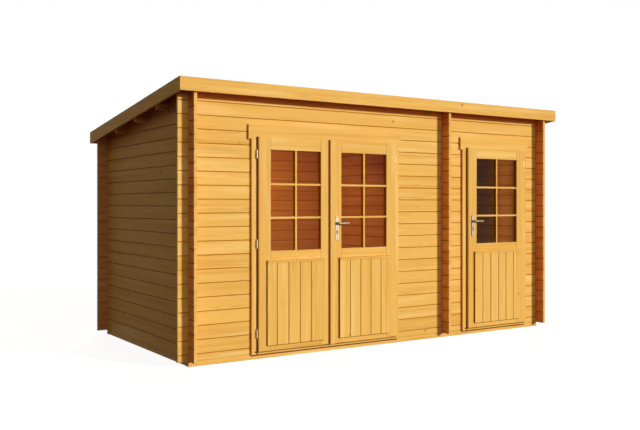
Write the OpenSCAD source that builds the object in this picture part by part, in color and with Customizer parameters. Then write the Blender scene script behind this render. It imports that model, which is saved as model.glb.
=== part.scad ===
// Log-built garden house with a mono-pitch roof: a large room behind a double
// door and a small store room behind a single door. Solid logs with V-edged
// tongue-and-groove joints cross at every corner and run past it.
// Millimetres, Z up, front towards -Y. The origin is the centre of the plan, on the ground.

/* [Rooms] */
// Inside width of the large room
main_room_w = 2674; // [2450:2:3600]
// Inside width of the store room
store_room_w = 1316; // [1150:2:2200]
// Inside depth of both rooms
room_d = 1954; // [1500:2:3000]

/* [Logs] */
// Thickness of a log
log_t = 28; // [24:1:45]
// Height of one course of logs
log_h = 114; // [108:1:130]
// Length of a side wall's or the partition's log past the crossing
log_end = 106; // [60:1:120]
// Length of a front wall's log past the crossing
front_log_end = 94; // [60:1:105]
// Length of a back wall's log past the crossing
back_log_end = 102; // [60:1:105]
// Size of the bevel along each edge of a log
log_bevel = 4.5; // [2:0.5:6]
// Width of a log's tongue
tongue_w = 8; // [6:0.5:9]
// Height of a log's tongue
tongue_h = 7; // [4:0.5:10]
// Joint left between two logs
log_gap = 0.4; // [0.2:0.1:0.8]

/* [Roof] */
// Height of the front wall at its outer face, above the bearers
front_wall_h = 2238; // [2180:1:2400]
// Slope of the roof towards the back, in degrees
roof_pitch = 6.9; // [3:0.1:8]
// Overhang of the roof past the front wall
front_over = 137; // [125:1:300]
// Overhang of the roof past the back wall
back_over = 137; // [115:1:300]
// Overhang of the roof past each side wall
side_over = 132; // [130:1:300]
// Thickness of the roof boards
roof_board_t = 18; // [15:1:25]
// Thickness of the roofing felt
felt_t = 5; // [2:0.5:6]
// Height of the fascia boards
fascia_h = 110; // [90:1:140]
// Thickness of the fascia boards
fascia_t = 19; // [15:1:24]
// Width of a purlin
purlin_w = 44; // [35:1:60]
// Height of a purlin
purlin_h = 120; // [100:1:140]
// Number of purlins
purlin_n = 3; // [2:1:4]
// Distance that the purlins lie nearer to the front than even spacing gives
purlin_shift = 90; // [0:5:120]

/* [Floor] */
// Height of the bearers that the walls stand on
bearer_h = 43; // [30:1:70]
// Width of a bearer
bearer_w = 58; // [45:1:80]
// Distance that the left wall's bearer lies inside the wall's face
left_bearer_in = 7; // [0:1:10]
// Distance that the bearers end inside the right wall's face
right_bearer_in = 13; // [0:1:15]
// Largest distance between two floor joists
joist_pitch = 480; // [350:10:600]
// Thickness of the floor boards
floor_t = 18; // [15:1:22]
// Width of one floor board or roof board
board_w = 96; // [80:1:140]

/* [Doors] */
// Width of each leaf pair over both leaves
double_w = 1468; // [1300:2:1600]
// Width of the single leaf
single_w = 800; // [700:2:900]
// Centre of the double door from the left inner face
double_x = 1324; // [1290:1:1360]
// Centre of the single door from the partition's right face
single_x = 687; // [650:1:700]
// Height of the top of a leaf above the bearers
leaf_top = 1841; // [1780:1:1850]
// Height of the bottom of a leaf above the bearers
leaf_bottom = 25; // [18:1:40]
// Full thickness of a leaf
leaf_t = 40; // [36:1:50]
// Thickness of the lip that laps over the frame
lip_t = 16; // [12:1:20]
// Lap of the lip over a jamb
lip_lap = 13; // [10:1:16]
// Lap of the lip over the head of the frame
head_lap = 20; // [12:1:24]
// Width of the left leaf's hinge stile and of the single leaf's lock stile
stile_w = 118; // [100:1:130]
// Width of the right leaf's and the single leaf's hinge stile
right_stile_w = 105; // [100:1:130]
// Width of the left leaf's stile where the pair meets
meet_stile_w = 82; // [75:1:95]
// Height of the top rail
top_rail_h = 107; // [90:1:130]
// Height of the middle rail
mid_rail_h = 129; // [110:1:150]
// Height of the bottom rail
bottom_rail_h = 118; // [90:1:140]
// Height of the bottom of the glass above the bearers
glass_bottom = 873; // [820:1:950]
// Thickness of the glass
glass_t = 4; // [3:0.5:6]
// Depth of the glass behind the face of the leaf
glass_recess = 27; // [15:1:29]
// Width of a glazing bar
bar_w = 17; // [12:1:25]
// Depth of a glazing bar's face behind the face of the leaf
bar_in = 4; // [1:0.5:6]
// Distance that the two cross bars lie below even spacing
bar_drop = 6; // [0:1:12]
// Thickness of the boarding on the lower part of a leaf
panel_t = 15; // [10:1:18]
// Distance from an outer edge of a leaf to its boarding
panel_in = 82; // [70:1:90]
// Distance from the meeting edge or the cover strip to the boarding
panel_meet = 53; // [45:1:60]
// Lap of the boarding over the middle rail
panel_lap_top = 27; // [10:1:60]
// Lap of the boarding over the bottom rail
panel_lap_foot = 72; // [20:1:80]
// Width of one board of the boarding on the pair of leaves
pair_board_w = 116; // [80:1:140]
// Width of one board of the boarding on the single leaf
single_board_w = 110; // [80:1:140]
// Width of the left leaf's first board, which is cut narrower
first_board_w = 92; // [50:1:116]
// Height of the drip bar over the boarding
drip_h = 24; // [18:1:35]
// Distance that the drip bar stands out from the face of a leaf
drip_t = 25; // [20:1:35]
// Width of the cover strip where the two leaves meet
strip_w = 53; // [40:1:60]
// Thickness of the cover strip
strip_t = 19; // [12:1:22]
// How far the meeting line lies to the left of the double door's centre
meet_shift = 17; // [0:1:25]
// Gap around and between the leaves
leaf_gap = 5; // [4:0.5:8]

/* [Door frames] */
// Width of a jamb that shows beside a leaf
jamb_show = 54; // [40:1:70]
// Distance that a frame stands out from each face of the wall
frame_out = 21; // [15:1:30]
// Depth of the slot in a jamb that the log ends fit in
jamb_slot = 25; // [15:1:35]
// Height of the head board
head_h = 123; // [100:1:140]
// Overhang of the head board past each jamb
head_over = 28; // [10:1:50]
// Height of the sill in front, under the leaf
sill_t = 11; // [8:1:12]
// Height of the stop on the sill, behind the leaf
sill_stop = 30; // [26:1:36]

/* [Fittings] */
// Radius of a hinge barrel
barrel_r = 7; // [5:0.5:7.5]
// Length of a hinge barrel
barrel_l = 68; // [50:1:90]
// Radius of a hinge pin
pin_r = 3; // [2:0.5:4]
// Radius of the spigots that a hinge is drilled in with
spigot_r = 4; // [3:0.5:4.5]
// Length of a spigot inside the wood
spigot_l = 30; // [20:1:40]
// Width of a handle plate
plate_w = 35; // [28:1:40]
// Height of a handle plate
plate_h = 215; // [180:1:260]
// Thickness of a handle plate
plate_t = 8; // [3:1:10]
// Distance of a handle plate's centre below the lever's axis
plate_drop = 46; // [30:1:60]
// Height of the lever's axis above the bearers
lever_z = 1100; // [1000:1:1150]
// Length of a lever from its axis to its tip
lever_l = 115; // [100:1:140]
// Distance of the lever's grip from the plate
lever_out = 32; // [28:1:50]
// Radius of a lever's grip
grip_r = 9; // [7:0.5:11]
// Radius of the spindle
spindle_r = 4; // [3:0.5:5]

// Distance of a hinge's axis in front of the jamb
hinge_out = 12; // [12:0.5:16]
// Distance of a hinge's axis beside the leaf
hinge_off = 8; // [8:0.5:12]
// Stile of the right leaf that shows beside the cover strip
strip_share = 79; // [70:1:90]
// Distance of the right leaf's lever from the cover strip
right_lever_in = 28; // [24:1:45]
// Offset of the single leaf's lever from the middle of its stile
lever_shift = 4; // [-15:1:15]

/* [Hidden] */
$fn = 48;

// Clearances
seat = 0.3;          // joint between two pieces that rest on each other
notch_gap = 0.5;     // sideways play of a log in a notch
pin_gap = 0.3;       // play round a hinge pin, a spigot or the glass
spindle_gap = 1;     // play round a spindle inside a leaf
barrel_cap = 4;      // steel left over the end of a hinge pin
collar_w = 3;        // how far a lever's collar stands out round its neck
collar_h = 6;        // height of a lever's collar
spindle_in = 5;      // reach of a spindle into a lever's neck
floor_v = 1.5;       // depth of the V between two floor boards
roof_v = 2;          // depth of the V between two roof boards
feather = 60;        // length cut off the thin end of a course under the roof
web = 5;             // least wood left in a log between its groove and a purlin
over = 1;            // reach of a cut past the wood, and of a pin into its barrel
big = 10000;         // longer than anything here

// Plan, measured from the outer face of the left wall and of the front wall
left_x = 0;
part_x = log_t + main_room_w;
right_x = part_x + log_t + store_room_w;
wall_w = right_x + log_t;
wall_d = room_d + 2 * log_t;
back_y = wall_d - log_t;
cross_x = [left_x, part_x, right_x];
cross_y = [0, back_y];

// Roof planes: the underside of the boards, and their top, at a distance y from the front
slope = tan(roof_pitch);
function under_z(y) = front_wall_h - y * slope;
function deck_z(y) = under_z(y) + roof_board_t / cos(roof_pitch);

// Doors
door_last = ceil(leaf_top / log_h - 0.5);                 // last course beside the doors
head_z = (door_last + 0.5) * log_h;                       // underside of the logs over the doors
body_inset = lip_lap + leaf_gap;                          // from a lip's edge to the leaf's body
jamb_w = jamb_show + lip_lap;
head_bottom = leaf_top - head_lap;
leaf_y = -frame_out - leaf_gap - lip_t;                   // face of a leaf
leaf_back = leaf_y + leaf_t;
panel_z0 = leaf_bottom + bottom_rail_h - panel_lap_foot;
panel_z1 = glass_bottom - mid_rail_h + panel_lap_top;
glass_y = leaf_y + glass_recess;
glass_rim = 8;                                            // glass hidden in the groove of a leaf
board_v = 2.5;                                            // depth of the V between two boards of a leaf
hinge_zs = [177, 935, 1693];
hinge_y = -frame_out - hinge_out;

dx0 = log_t + double_x - double_w / 2;                    // double door, left edge of its leaves
dx1 = dx0 + double_w;
meet_x = (dx0 + dx1) / 2 - meet_shift;                    // left edge of the right leaf
sx0 = part_x + log_t + single_x - single_w / 2;           // single door, left edge of its leaf
sx1 = sx0 + single_w;
right_lever_x = meet_x + strip_w + right_lever_in;
single_lever_x = sx0 + stile_w / 2 + lever_shift;

// Puts a piece that is measured from the walls' outer faces into the part's frame
module place() {
  translate([-wall_w / 2, -(wall_d + back_over - front_over) / 2, bearer_h]) children();
}

// ---------- shapes that repeat ----------

// Box between two corners
module block(a, b) {
  translate(a) cube(b - a);
}

// Outline of a log standing on edge: bevelled edges, tongue on top, groove below
module log_outline(h, grooved = true, tongued = true) {
  c = log_bevel;
  m = log_t / 2;
  g = log_gap / 2;
  tw = tongue_w / 2;
  gw = tw + pin_gap;
  gd = tongue_h + 2 * g + pin_gap;
  low = grooved ? g : 0;
  groove = grooved ? [[m - gw, g], [m - gw, gd], [m + gw, gd], [m + gw, g]] : [];
  foot = concat([[c, low]], groove, [[log_t - c, low], [log_t, low + c]]);
  crown = tongued
    ? [[log_t, h - g - c], [log_t - c, h - g], [m + tw, h - g], [m + tw, h - g + tongue_h],
       [m - tw, h - g + tongue_h], [m - tw, h - g], [c, h - g], [0, h - g - c]]
    : [[log_t, h], [0, h]];
  polygon(concat(foot, crown, [[0, low + c]]));
}

// Courses laid along X from x0 to x1, which start with half a log. The one that meets
// the roof is left higher and without a tongue, for the roof to cut
module logs_along_x(x0, x1, first, last, top = -1) {
  for (k = [first:last]) {
    low = k == 0 ? 0 : (k - 0.5) * log_h;
    h = k == 0 ? log_h / 2 : k == top ? 2 * log_h : log_h;
    translate([x0, 0, low]) rotate([90, 0, 90]) linear_extrude(x1 - x0)
      log_outline(h, k > 0, k != top);
  }
}

// Courses laid along Y from y0 to y1
module logs_along_y(y0, y1, last) {
  for (k = [0:last]) {
    translate([0, y1, k * log_h]) rotate([90, 0, 0]) linear_extrude(y1 - y0)
      log_outline(log_h, k > 0, k < last);
  }
}

// Notches cut at a crossing: half of each log's height is kept
module notches(at, joints) {
  for (z = joints)
    block([at - notch_gap, -over, z - log_h / 4 - log_gap / 2],
          [at + log_t + notch_gap, log_t + over, z + log_h / 4 + log_gap / 2]);
}

// Everything above the underside of the roof boards
module above_roof(gap = seat) {
  y0 = -2 * front_over;
  y1 = wall_d + 2 * back_over;
  translate([-big / 2, 0, 0]) rotate([90, 0, 90]) linear_extrude(2 * big)
    polygon([[y0, under_z(y0) - gap], [y1, under_z(y1) - gap], [y1, big], [y0, big]]);
}

// Room for the purlins in a wall that carries them
module purlin_seats() {
  for (i = [1:purlin_n])
    let (y = purlin_y(i))
      block([-over, y - purlin_w / 2 - notch_gap, purlin_low(i)],
            [log_t + over, y + purlin_w / 2 + notch_gap, under_z(y) + log_h]);
}

// The thin end of each course that runs out under the roof is cut off
module feather_edges() {
  for (k = [1:side_last])
    let (y = (front_wall_h - k * log_h) / slope)
      block([-over, y - feather, k * log_h], [log_t + over, y + feather, (k + 1) * log_h]);
}

function purlin_y(i) = wall_d * i / (purlin_n + 1) - purlin_shift;

// Underside of a purlin. It reaches down to the joint between two courses where the
// log under it would be cut almost through
function purlin_low(i) =
  let (z = under_z(purlin_y(i)) - purlin_h - purlin_w / 2 * slope,
       joint = floor(z / log_h) * log_h)
  z - joint < tongue_h + web ? joint : z;

// Last course of the front wall, of the back wall and of a side wall
front_last = round(front_wall_h / log_h - 0.5);
back_last = round(under_z(back_y) / log_h - 0.5);
side_last = ceil(under_z(-log_end) / log_h) - 1;

function half_joints(first, last) = [for (k = [first:last]) (k + 0.5) * log_h];
function full_joints(last) = [for (k = [0:last + 1]) k * log_h];

// Front wall between x0 and x1, from one course to another
module front_logs(x0, x1, first, last) {
  difference() {
    logs_along_x(x0, x1, first, last, front_last);
    for (x = cross_x)
      if (x + log_t > x0 && x < x1) notches(x, half_joints(first - 1, last));
    if (last == front_last) above_roof();
  }
}

// A wall from front to back, with its crossings and its purlin seats
module cross_wall(x) {
  translate([x, 0, 0]) difference() {
    logs_along_y(-log_end, wall_d + log_end, side_last);
    for (y = cross_y)
      for (z = full_joints(side_last))
        block([-over, y - notch_gap, z - log_h / 4 - log_gap / 2],
              [log_t + over, y + log_t + notch_gap, z + log_h / 4 + log_gap / 2]);
    above_roof();
    purlin_seats();
    feather_edges();
  }
}

// Outline of boarding w wide and t thick, with V grooves on top at the joints between its boards
module boarding_outline(w, t, joints, v) {
  n = len(joints);
  grooves = [for (i = [1:n]) let (x = joints[n - i]) each [[x + v, t], [x, t - v], [x - v, t]]];
  polygon(concat([[0, 0], [w, 0], [w, t]], grooves, [[0, t]]));
}

// Joints of n boards of one width, and of boards b wide after a first board
function even_joints(w, n) = [for (i = [1:n - 1]) w * i / n];
function board_joints(w, first, b) = [for (x = [first:b:w - b / 4]) x];

// ---------- foundation and floor ----------

module bearers() {
  color("#7d8258") place() {
    for (y = [0, wall_d - bearer_w])
      block([0, y, -bearer_h], [wall_w - right_bearer_in, y + bearer_w, 0]);
    for (x = [left_bearer_in, part_x + log_t / 2 - bearer_w / 2, wall_w - bearer_w - right_bearer_in])
      block([x, bearer_w + seat, -bearer_h], [x + bearer_w, wall_d - bearer_w - seat, 0]);
  }
}

// Joists between two bearers of one room
module room_joists(x0, x1) {
  n = ceil((x1 - x0) / joist_pitch);
  for (i = [1:n - 1])
    let (x = x0 + (x1 - x0) * i / n)
      block([x - bearer_w / 2, bearer_w + seat, -bearer_h],
            [x + bearer_w / 2, wall_d - bearer_w - seat, 0]);
}

module floor_joists() {
  color("#8a8f63") place() {
    room_joists(bearer_w / 2, part_x + log_t / 2);
    room_joists(part_x + log_t / 2, wall_w - bearer_w / 2);
  }
}

// Floor boards of one room, laid along X on the joists
module room_floor(x0, w) {
  d = room_d - 2 * frame_out - 2 * seat;
  n = round(d / board_w);
  translate([x0 + leaf_gap, log_t + frame_out + seat, 0]) rotate([90, 0, 90])
    linear_extrude(w - 2 * leaf_gap) boarding_outline(d, floor_t, even_joints(d, n), floor_v);
}

module floor_main() {
  color("#e2c088") place() room_floor(log_t, main_room_w);
}

module floor_store() {
  color("#e2c088") place() room_floor(part_x + log_t, store_room_w);
}

// ---------- walls ----------

module front_wall_left() {
  color("#eeb860") place() front_logs(-front_log_end, dx0 - jamb_show + jamb_slot - seat, 0, door_last);
}

module front_wall_middle() {
  color("#eeb860") place()
    front_logs(dx1 + jamb_show - jamb_slot + seat, sx0 - jamb_show + jamb_slot - seat, 0, door_last);
}

module front_wall_right() {
  color("#eeb860") place()
    front_logs(sx1 + jamb_show - jamb_slot + seat, wall_w + front_log_end, 0, door_last);
}

module front_wall_top() {
  color("#eeb860") place() front_logs(-front_log_end, wall_w + front_log_end, door_last + 1, front_last);
}

module back_wall() {
  color("#e8b25c") place() difference() {
    translate([0, back_y, 0]) logs_along_x(-back_log_end, wall_w + back_log_end, 0, back_last, back_last);
    translate([0, back_y, 0])
      for (x = cross_x) notches(x, half_joints(0, back_last));
    above_roof();
  }
}

module left_wall() {
  color("#e0a852") place() cross_wall(left_x);
}

module partition_wall() {
  color("#e0a852") place() cross_wall(part_x);
}

module right_wall() {
  color("#e0a852") place() cross_wall(right_x);
}

// ---------- roof ----------

module purlins() {
  color("#e6b662") place() intersection() {
    for (i = [1:purlin_n])
      let (y = purlin_y(i))
        block([-side_over + fascia_t + seat, y - purlin_w / 2, purlin_low(i) + seat],
              [wall_w + side_over - fascia_t - seat, y + purlin_w / 2, under_z(y) + log_h]);
    difference() {
      block([-side_over, 0, 0], [wall_w + side_over, wall_d, big]);
      above_roof();
    }
  }
}

// Boards from front to back, their V joints on the underside
module roof_boards() {
  w = wall_w + 2 * (side_over - fascia_t - seat);
  y0 = -front_over + fascia_t + seat;
  y1 = wall_d + back_over - fascia_t - seat;
  spare = 50;
  color("#dfae63") place() difference() {
    translate([-side_over + fascia_t + seat, y0 - spare, deck_z(y0 - spare)]) rotate([-roof_pitch - 90, 0, 0])
      linear_extrude((y1 - y0 + 2 * spare) / cos(roof_pitch))
        boarding_outline(w, roof_board_t, even_joints(w, round(w / board_w)), roof_v);
    block([-big / 2, y0 - 2 * spare, 0], [big, y0, big]);
    block([-big / 2, y1, 0], [big, y1 + 2 * spare, big]);
  }
}

// Outline in the YZ plane of a strip that follows the slope
module sloped_strip(y0, y1, low, high) {
  polygon([[y0, deck_z(y0) + low], [y1, deck_z(y1) + low], [y1, deck_z(y1) + high], [y0, deck_z(y0) + high]]);
}

module roof_felt() {
  color("#3b3d3c") place()
    translate([-side_over, 0, 0]) rotate([90, 0, 90]) linear_extrude(wall_w + 2 * side_over)
      sloped_strip(-front_over + fascia_t + seat, wall_d + back_over, seat, felt_t);
}

// The front fascia is as high as the felt behind it, and every fascia's lower edge
// hangs by this much below the top of the roof boards
fascia_drop = fascia_h - felt_t + fascia_t * slope;

module fascia_front() {
  top = deck_z(-front_over + fascia_t) + felt_t;
  color("#efbd68") place()
    block([-side_over, -front_over, top - fascia_h], [wall_w + side_over, -front_over + fascia_t, top]);
}

module fascia_back() {
  color("#efbd68") place()
    translate([-side_over, 0, 0]) rotate([90, 0, 90]) linear_extrude(wall_w + 2 * side_over)
      polygon([[wall_d + back_over - fascia_t, deck_z(wall_d + back_over) - fascia_drop],
               [wall_d + back_over, deck_z(wall_d + back_over) - fascia_drop],
               [wall_d + back_over, deck_z(wall_d + back_over)],
               [wall_d + back_over - fascia_t, deck_z(wall_d + back_over - fascia_t)]]);
}

module side_fascia(x) {
  translate([x, 0, 0]) rotate([90, 0, 90]) linear_extrude(fascia_t)
    sloped_strip(-front_over + fascia_t + seat, wall_d + back_over - fascia_t - seat, -fascia_drop, 0);
}

module fascia_left() {
  color("#b98442") place() side_fascia(-side_over);
}

module fascia_right() {
  color("#efbd68") place() side_fascia(wall_w + side_over - fascia_t);
}

// ---------- door frames ----------

// Plan outline of a left jamb: a slot on its outer side takes the ends of the logs
module jamb_outline() {
  polygon([[0, -frame_out], [jamb_w, -frame_out], [jamb_w, log_t + frame_out], [0, log_t + frame_out],
           [0, log_t + seat], [jamb_slot, log_t + seat], [jamb_slot, -seat], [0, -seat]]);
}

// Section of the sill: low in front, with a stop that the leaf closes against
module sill_outline() {
  stop_y = leaf_back + leaf_gap;
  polygon([[-frame_out, 0], [log_t + frame_out, 0], [log_t + frame_out, sill_stop],
           [stop_y, sill_stop], [stop_y, sill_t], [-frame_out, sill_t]]);
}

// Frame round leaves that reach from x0 to x1: two jambs, a head and a sill, and the
// holes for the hinges' spigots at the axes listed in hinge_xs
module door_frame(x0, x1, hinge_xs) {
  a = x0 - jamb_show;
  b = x1 + jamb_show;
  difference() {
    union() {
      translate([a, 0, 0]) linear_extrude(head_bottom - seat) jamb_outline();
      translate([b, 0, 0]) mirror([1, 0, 0]) linear_extrude(head_bottom - seat) jamb_outline();
      translate([a + jamb_w + seat, 0, 0]) rotate([90, 0, 90])
        linear_extrude(b - a - 2 * (jamb_w + seat)) sill_outline();
      block([a - head_over, -frame_out, head_bottom], [b + head_over, -seat, head_bottom + head_h]);
      block([a - head_over, log_t + seat, head_bottom],
            [b + head_over, log_t + frame_out, head_bottom + head_h]);
      block([a + jamb_slot, -frame_out / 2, head_bottom],
            [b - jamb_slot, log_t + frame_out / 2, head_z - seat]);
    }
    for (x = hinge_xs, z = hinge_zs)
      translate([x, hinge_y, z - barrel_l / 4]) rotate([-90, 0, 0])
        cylinder(r = spigot_r + pin_gap, h = spigot_l + hinge_out + pin_gap);
  }
}

module double_door_frame() {
  color("#f0be6a") place() door_frame(dx0, dx1, [dx0 - hinge_off, dx1 + hinge_off]);
}

module single_door_frame() {
  color("#f0be6a") place() door_frame(sx0, sx1, [sx1 + hinge_off]);
}

// ---------- hinges ----------

// Lower half of a hinge: barrel with its pin, and the spigot in the jamb
module frame_hinge(x, z) {
  translate([x, hinge_y, z]) {
    translate([0, 0, -barrel_l / 2]) cylinder(r = barrel_r, h = barrel_l / 2 - seat / 2);
    translate([0, 0, -over]) cylinder(r = pin_r, h = barrel_l / 2 - barrel_cap);
    translate([0, 0, -barrel_l / 4]) rotate([-90, 0, 0]) cylinder(r = spigot_r, h = hinge_out + spigot_l);
  }
}

// Upper half of a hinge: bored barrel, and the spigot in the leaf, side +1 or -1 along X
module leaf_hinge(x, z, side) {
  translate([x, hinge_y, z]) difference() {
    union() {
      translate([0, 0, seat / 2]) cylinder(r = barrel_r, h = barrel_l / 2 - seat / 2);
      translate([0, 0, barrel_l / 4]) rotate([0, side * 90, 0])
        cylinder(r = spigot_r, h = hinge_off + spigot_l);
    }
    translate([0, 0, -over]) cylinder(r = pin_r + pin_gap, h = barrel_l / 2 - barrel_cap + over);
  }
}

module frame_hinges(xs) {
  for (x = xs, z = hinge_zs) frame_hinge(x, z);
}

module double_frame_hinges() {
  color("#d9d6cf") place() frame_hinges([dx0 - hinge_off, dx1 + hinge_off]);
}

module single_frame_hinges() {
  color("#d9d6cf") place() frame_hinges([sx1 + hinge_off]);
}

module left_hinges() {
  color("#d9d6cf") place() for (z = hinge_zs) leaf_hinge(dx0 - hinge_off, z, 1);
}

module right_hinges() {
  color("#d9d6cf") place() for (z = hinge_zs) leaf_hinge(dx1 + hinge_off, z, -1);
}

module single_hinges() {
  color("#d9d6cf") place() for (z = hinge_zs) leaf_hinge(sx1 + hinge_off, z, -1);
}

// ---------- leaves ----------

// Glass opening of a leaf, between gx0 and gx1
glass_top = leaf_top - top_rail_h;

// Half-glazed leaf from x0 to x1 with its glass between gx0 and gx1. A lip laps over the
// frame at the top and at each lapped side; spigot holes lie at hinge_x, lever_x has the spindle's hole
module leaf(x0, x1, gx0, gx1, lap_left, lap_right, hinge_x, side, lever_x = undef) {
  bx0 = x0 + (lap_left ? body_inset : 0);
  bx1 = x1 - (lap_right ? body_inset : 0);
  body_top = head_bottom - leaf_gap;
  difference() {
    union() {
      block([x0, leaf_y, leaf_bottom], [x1, leaf_y + lip_t, leaf_top]);
      block([bx0, leaf_y, leaf_bottom], [bx1, leaf_back, body_top]);
    }
    block([gx0, leaf_y - over, glass_bottom], [gx1, leaf_back + over, glass_top]);
    block([gx0, leaf_y - over, leaf_bottom + bottom_rail_h],
          [gx1, leaf_back + over, glass_bottom - mid_rail_h]);
    block([gx0 - glass_rim - pin_gap, glass_y - pin_gap, glass_bottom - glass_rim - pin_gap],
          [gx1 + glass_rim + pin_gap, glass_y + glass_t + pin_gap, glass_top + glass_rim + pin_gap]);
    for (z = hinge_zs)
      translate([hinge_x, hinge_y, z + barrel_l / 4]) rotate([0, side * 90, 0])
        cylinder(r = spigot_r + pin_gap, h = hinge_off + spigot_l + pin_gap);
    if (lever_x != undef)
      translate([lever_x, leaf_y - over, lever_z]) rotate([-90, 0, 0])
        cylinder(r = spindle_r + spindle_gap, h = leaf_t + 2 * over);
  }
  glazing_bars(gx0, gx1);
}

// One bar down the middle and two across, in front of the glass and behind it
module glazing_bars(gx0, gx1) {
  m = (gx0 + gx1) / 2;
  for (y = [[leaf_y + bar_in, glass_y - pin_gap], [glass_y + glass_t + pin_gap, leaf_back - bar_in]]) {
    block([m - bar_w / 2, y[0], glass_bottom], [m + bar_w / 2, y[1], glass_top]);
    for (i = [1, 2])
      let (z = glass_bottom + (glass_top - glass_bottom) * i / 3 - bar_drop)
        block([gx0, y[0], z - bar_w / 2], [gx1, y[1], z + bar_w / 2]);
  }
}

module pane(gx0, gx1) {
  block([gx0 - glass_rim, glass_y, glass_bottom - glass_rim],
        [gx1 + glass_rim, glass_y + glass_t, glass_top + glass_rim]);
}

// Upright boarding on the lower part of a leaf, from x0 to x1
module panel(x0, x1, first, b) {
  translate([x0, leaf_y, panel_z0]) linear_extrude(panel_z1 - panel_z0)
    mirror([0, 1]) boarding_outline(x1 - x0, panel_t, board_joints(x1 - x0, first, b), board_v);
}

// Bar with a weathered top that sheds rain past the boarding under it
module drip_bar(x0, x1) {
  translate([x0, leaf_y, panel_z1 + seat]) rotate([90, 0, 90]) linear_extrude(x1 - x0)
    polygon([[0, 0], [-drip_t, 0], [-drip_t, drip_h * 0.7], [0, drip_h]]);
}

// Edges of the glass openings and of the boarding of the three leaves
left_g = [dx0 + stile_w, meet_x - leaf_gap - meet_stile_w];
right_g = [meet_x + strip_w + strip_share, dx1 - right_stile_w];
single_g = [sx0 + stile_w, sx1 - right_stile_w];
left_p = [dx0 + panel_in, meet_x - leaf_gap - panel_meet];
right_p = [meet_x + strip_w + panel_meet, dx1 - panel_in];
single_p = [sx0 + panel_in, sx1 - panel_in];

module left_leaf() {
  color("#f2c272") place()
    leaf(dx0, meet_x - leaf_gap, left_g[0], left_g[1], true, false, dx0 - hinge_off, 1);
}

module right_leaf() {
  color("#f2c272") place()
    leaf(meet_x, dx1, right_g[0], right_g[1], false, true, dx1 + hinge_off, -1, right_lever_x);
}

module single_leaf() {
  color("#f2c272") place()
    leaf(sx0, sx1, single_g[0], single_g[1], true, true, sx1 + hinge_off, -1, single_lever_x);
}

module left_panel() {
  color("#efbc66") place() panel(left_p[0], left_p[1], first_board_w, pair_board_w);
}

module right_panel() {
  color("#efbc66") place() panel(right_p[0], right_p[1], pair_board_w, pair_board_w);
}

module single_panel() {
  color("#efbc66") place() panel(single_p[0], single_p[1], single_board_w, single_board_w);
}

module left_drip_bar() {
  color("#f0c070") place() drip_bar(left_p[0], left_p[1]);
}

module right_drip_bar() {
  color("#f0c070") place() drip_bar(right_p[0], right_p[1]);
}

module single_drip_bar() {
  color("#f0c070") place() drip_bar(single_p[0], single_p[1]);
}

module left_glass() {
  color("#b9d3d6", 0.4) place() pane(left_g[0], left_g[1]);
}

module right_glass() {
  color("#b9d3d6", 0.4) place() pane(right_g[0], right_g[1]);
}

module single_glass() {
  color("#b9d3d6", 0.4) place() pane(single_g[0], single_g[1]);
}

module cover_strip() {
  color("#f2c272") place()
    block([meet_x, leaf_y - strip_t, leaf_bottom], [meet_x + strip_w, leaf_y, leaf_top]);
}

// ---------- handles ----------

// Plate with round ends, its back on the plane y and its front t nearer to the viewer
module plate(x, y, t) {
  translate([x, y, lever_z - plate_drop]) rotate([90, 0, 0]) linear_extrude(t) difference() {
    union() {
      square([plate_w, plate_h - plate_w], center = true);
      for (s = [-1, 1]) translate([0, s * (plate_h - plate_w) / 2]) circle(d = plate_w);
    }
    translate([0, plate_drop]) circle(r = spindle_r + pin_gap);
  }
}

module plates(x) {
  plate(x, leaf_y, plate_t);
  plate(x, leaf_back + plate_t, plate_t);
}

// Lever on one side of a leaf: collar, neck, elbow and a grip with a round tip
module grip(dir) {
  rotate([dir * 90, 0, 0]) {
    translate([0, 0, plate_t + seat]) cylinder(r = grip_r + collar_w, h = collar_h);
    translate([0, 0, plate_t + seat]) cylinder(r = grip_r, h = lever_out);
    translate([0, 0, plate_t + seat + lever_out]) {
      sphere(r = grip_r);
      rotate([0, 90, 0]) cylinder(r = grip_r, h = lever_l - grip_r);
      translate([lever_l - grip_r, 0, 0]) sphere(r = grip_r);
    }
  }
}

module lever(x) {
  translate([x, leaf_y, lever_z]) grip(1);
  translate([x, leaf_back, lever_z]) grip(-1);
  translate([x, leaf_y - plate_t - spindle_in, lever_z]) rotate([-90, 0, 0])
    cylinder(r = spindle_r, h = leaf_t + 2 * (plate_t + spindle_in));
}

module right_plates() {
  color("#cfcbc2") place() plates(right_lever_x);
}

module single_plates() {
  color("#cfcbc2") place() plates(single_lever_x);
}

module right_lever() {
  color("#dedbd3") place() lever(right_lever_x);
}

module single_lever() {
  color("#dedbd3") place() lever(single_lever_x);
}

bearers();
floor_joists();
floor_main();
floor_store();
front_wall_left();
front_wall_middle();
front_wall_right();
front_wall_top();
back_wall();
left_wall();
partition_wall();
right_wall();
purlins();
roof_boards();
roof_felt();
fascia_front();
fascia_back();
fascia_left();
fascia_right();
double_door_frame();
single_door_frame();
double_frame_hinges();
single_frame_hinges();
left_leaf();
left_panel();
left_drip_bar();
left_glass();
left_hinges();
right_leaf();
right_panel();
right_drip_bar();
right_glass();
right_hinges();
cover_strip();
single_leaf();
single_panel();
single_drip_bar();
single_glass();
single_hinges();
right_plates();
single_plates();
right_lever();
single_lever();
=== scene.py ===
import math

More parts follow.
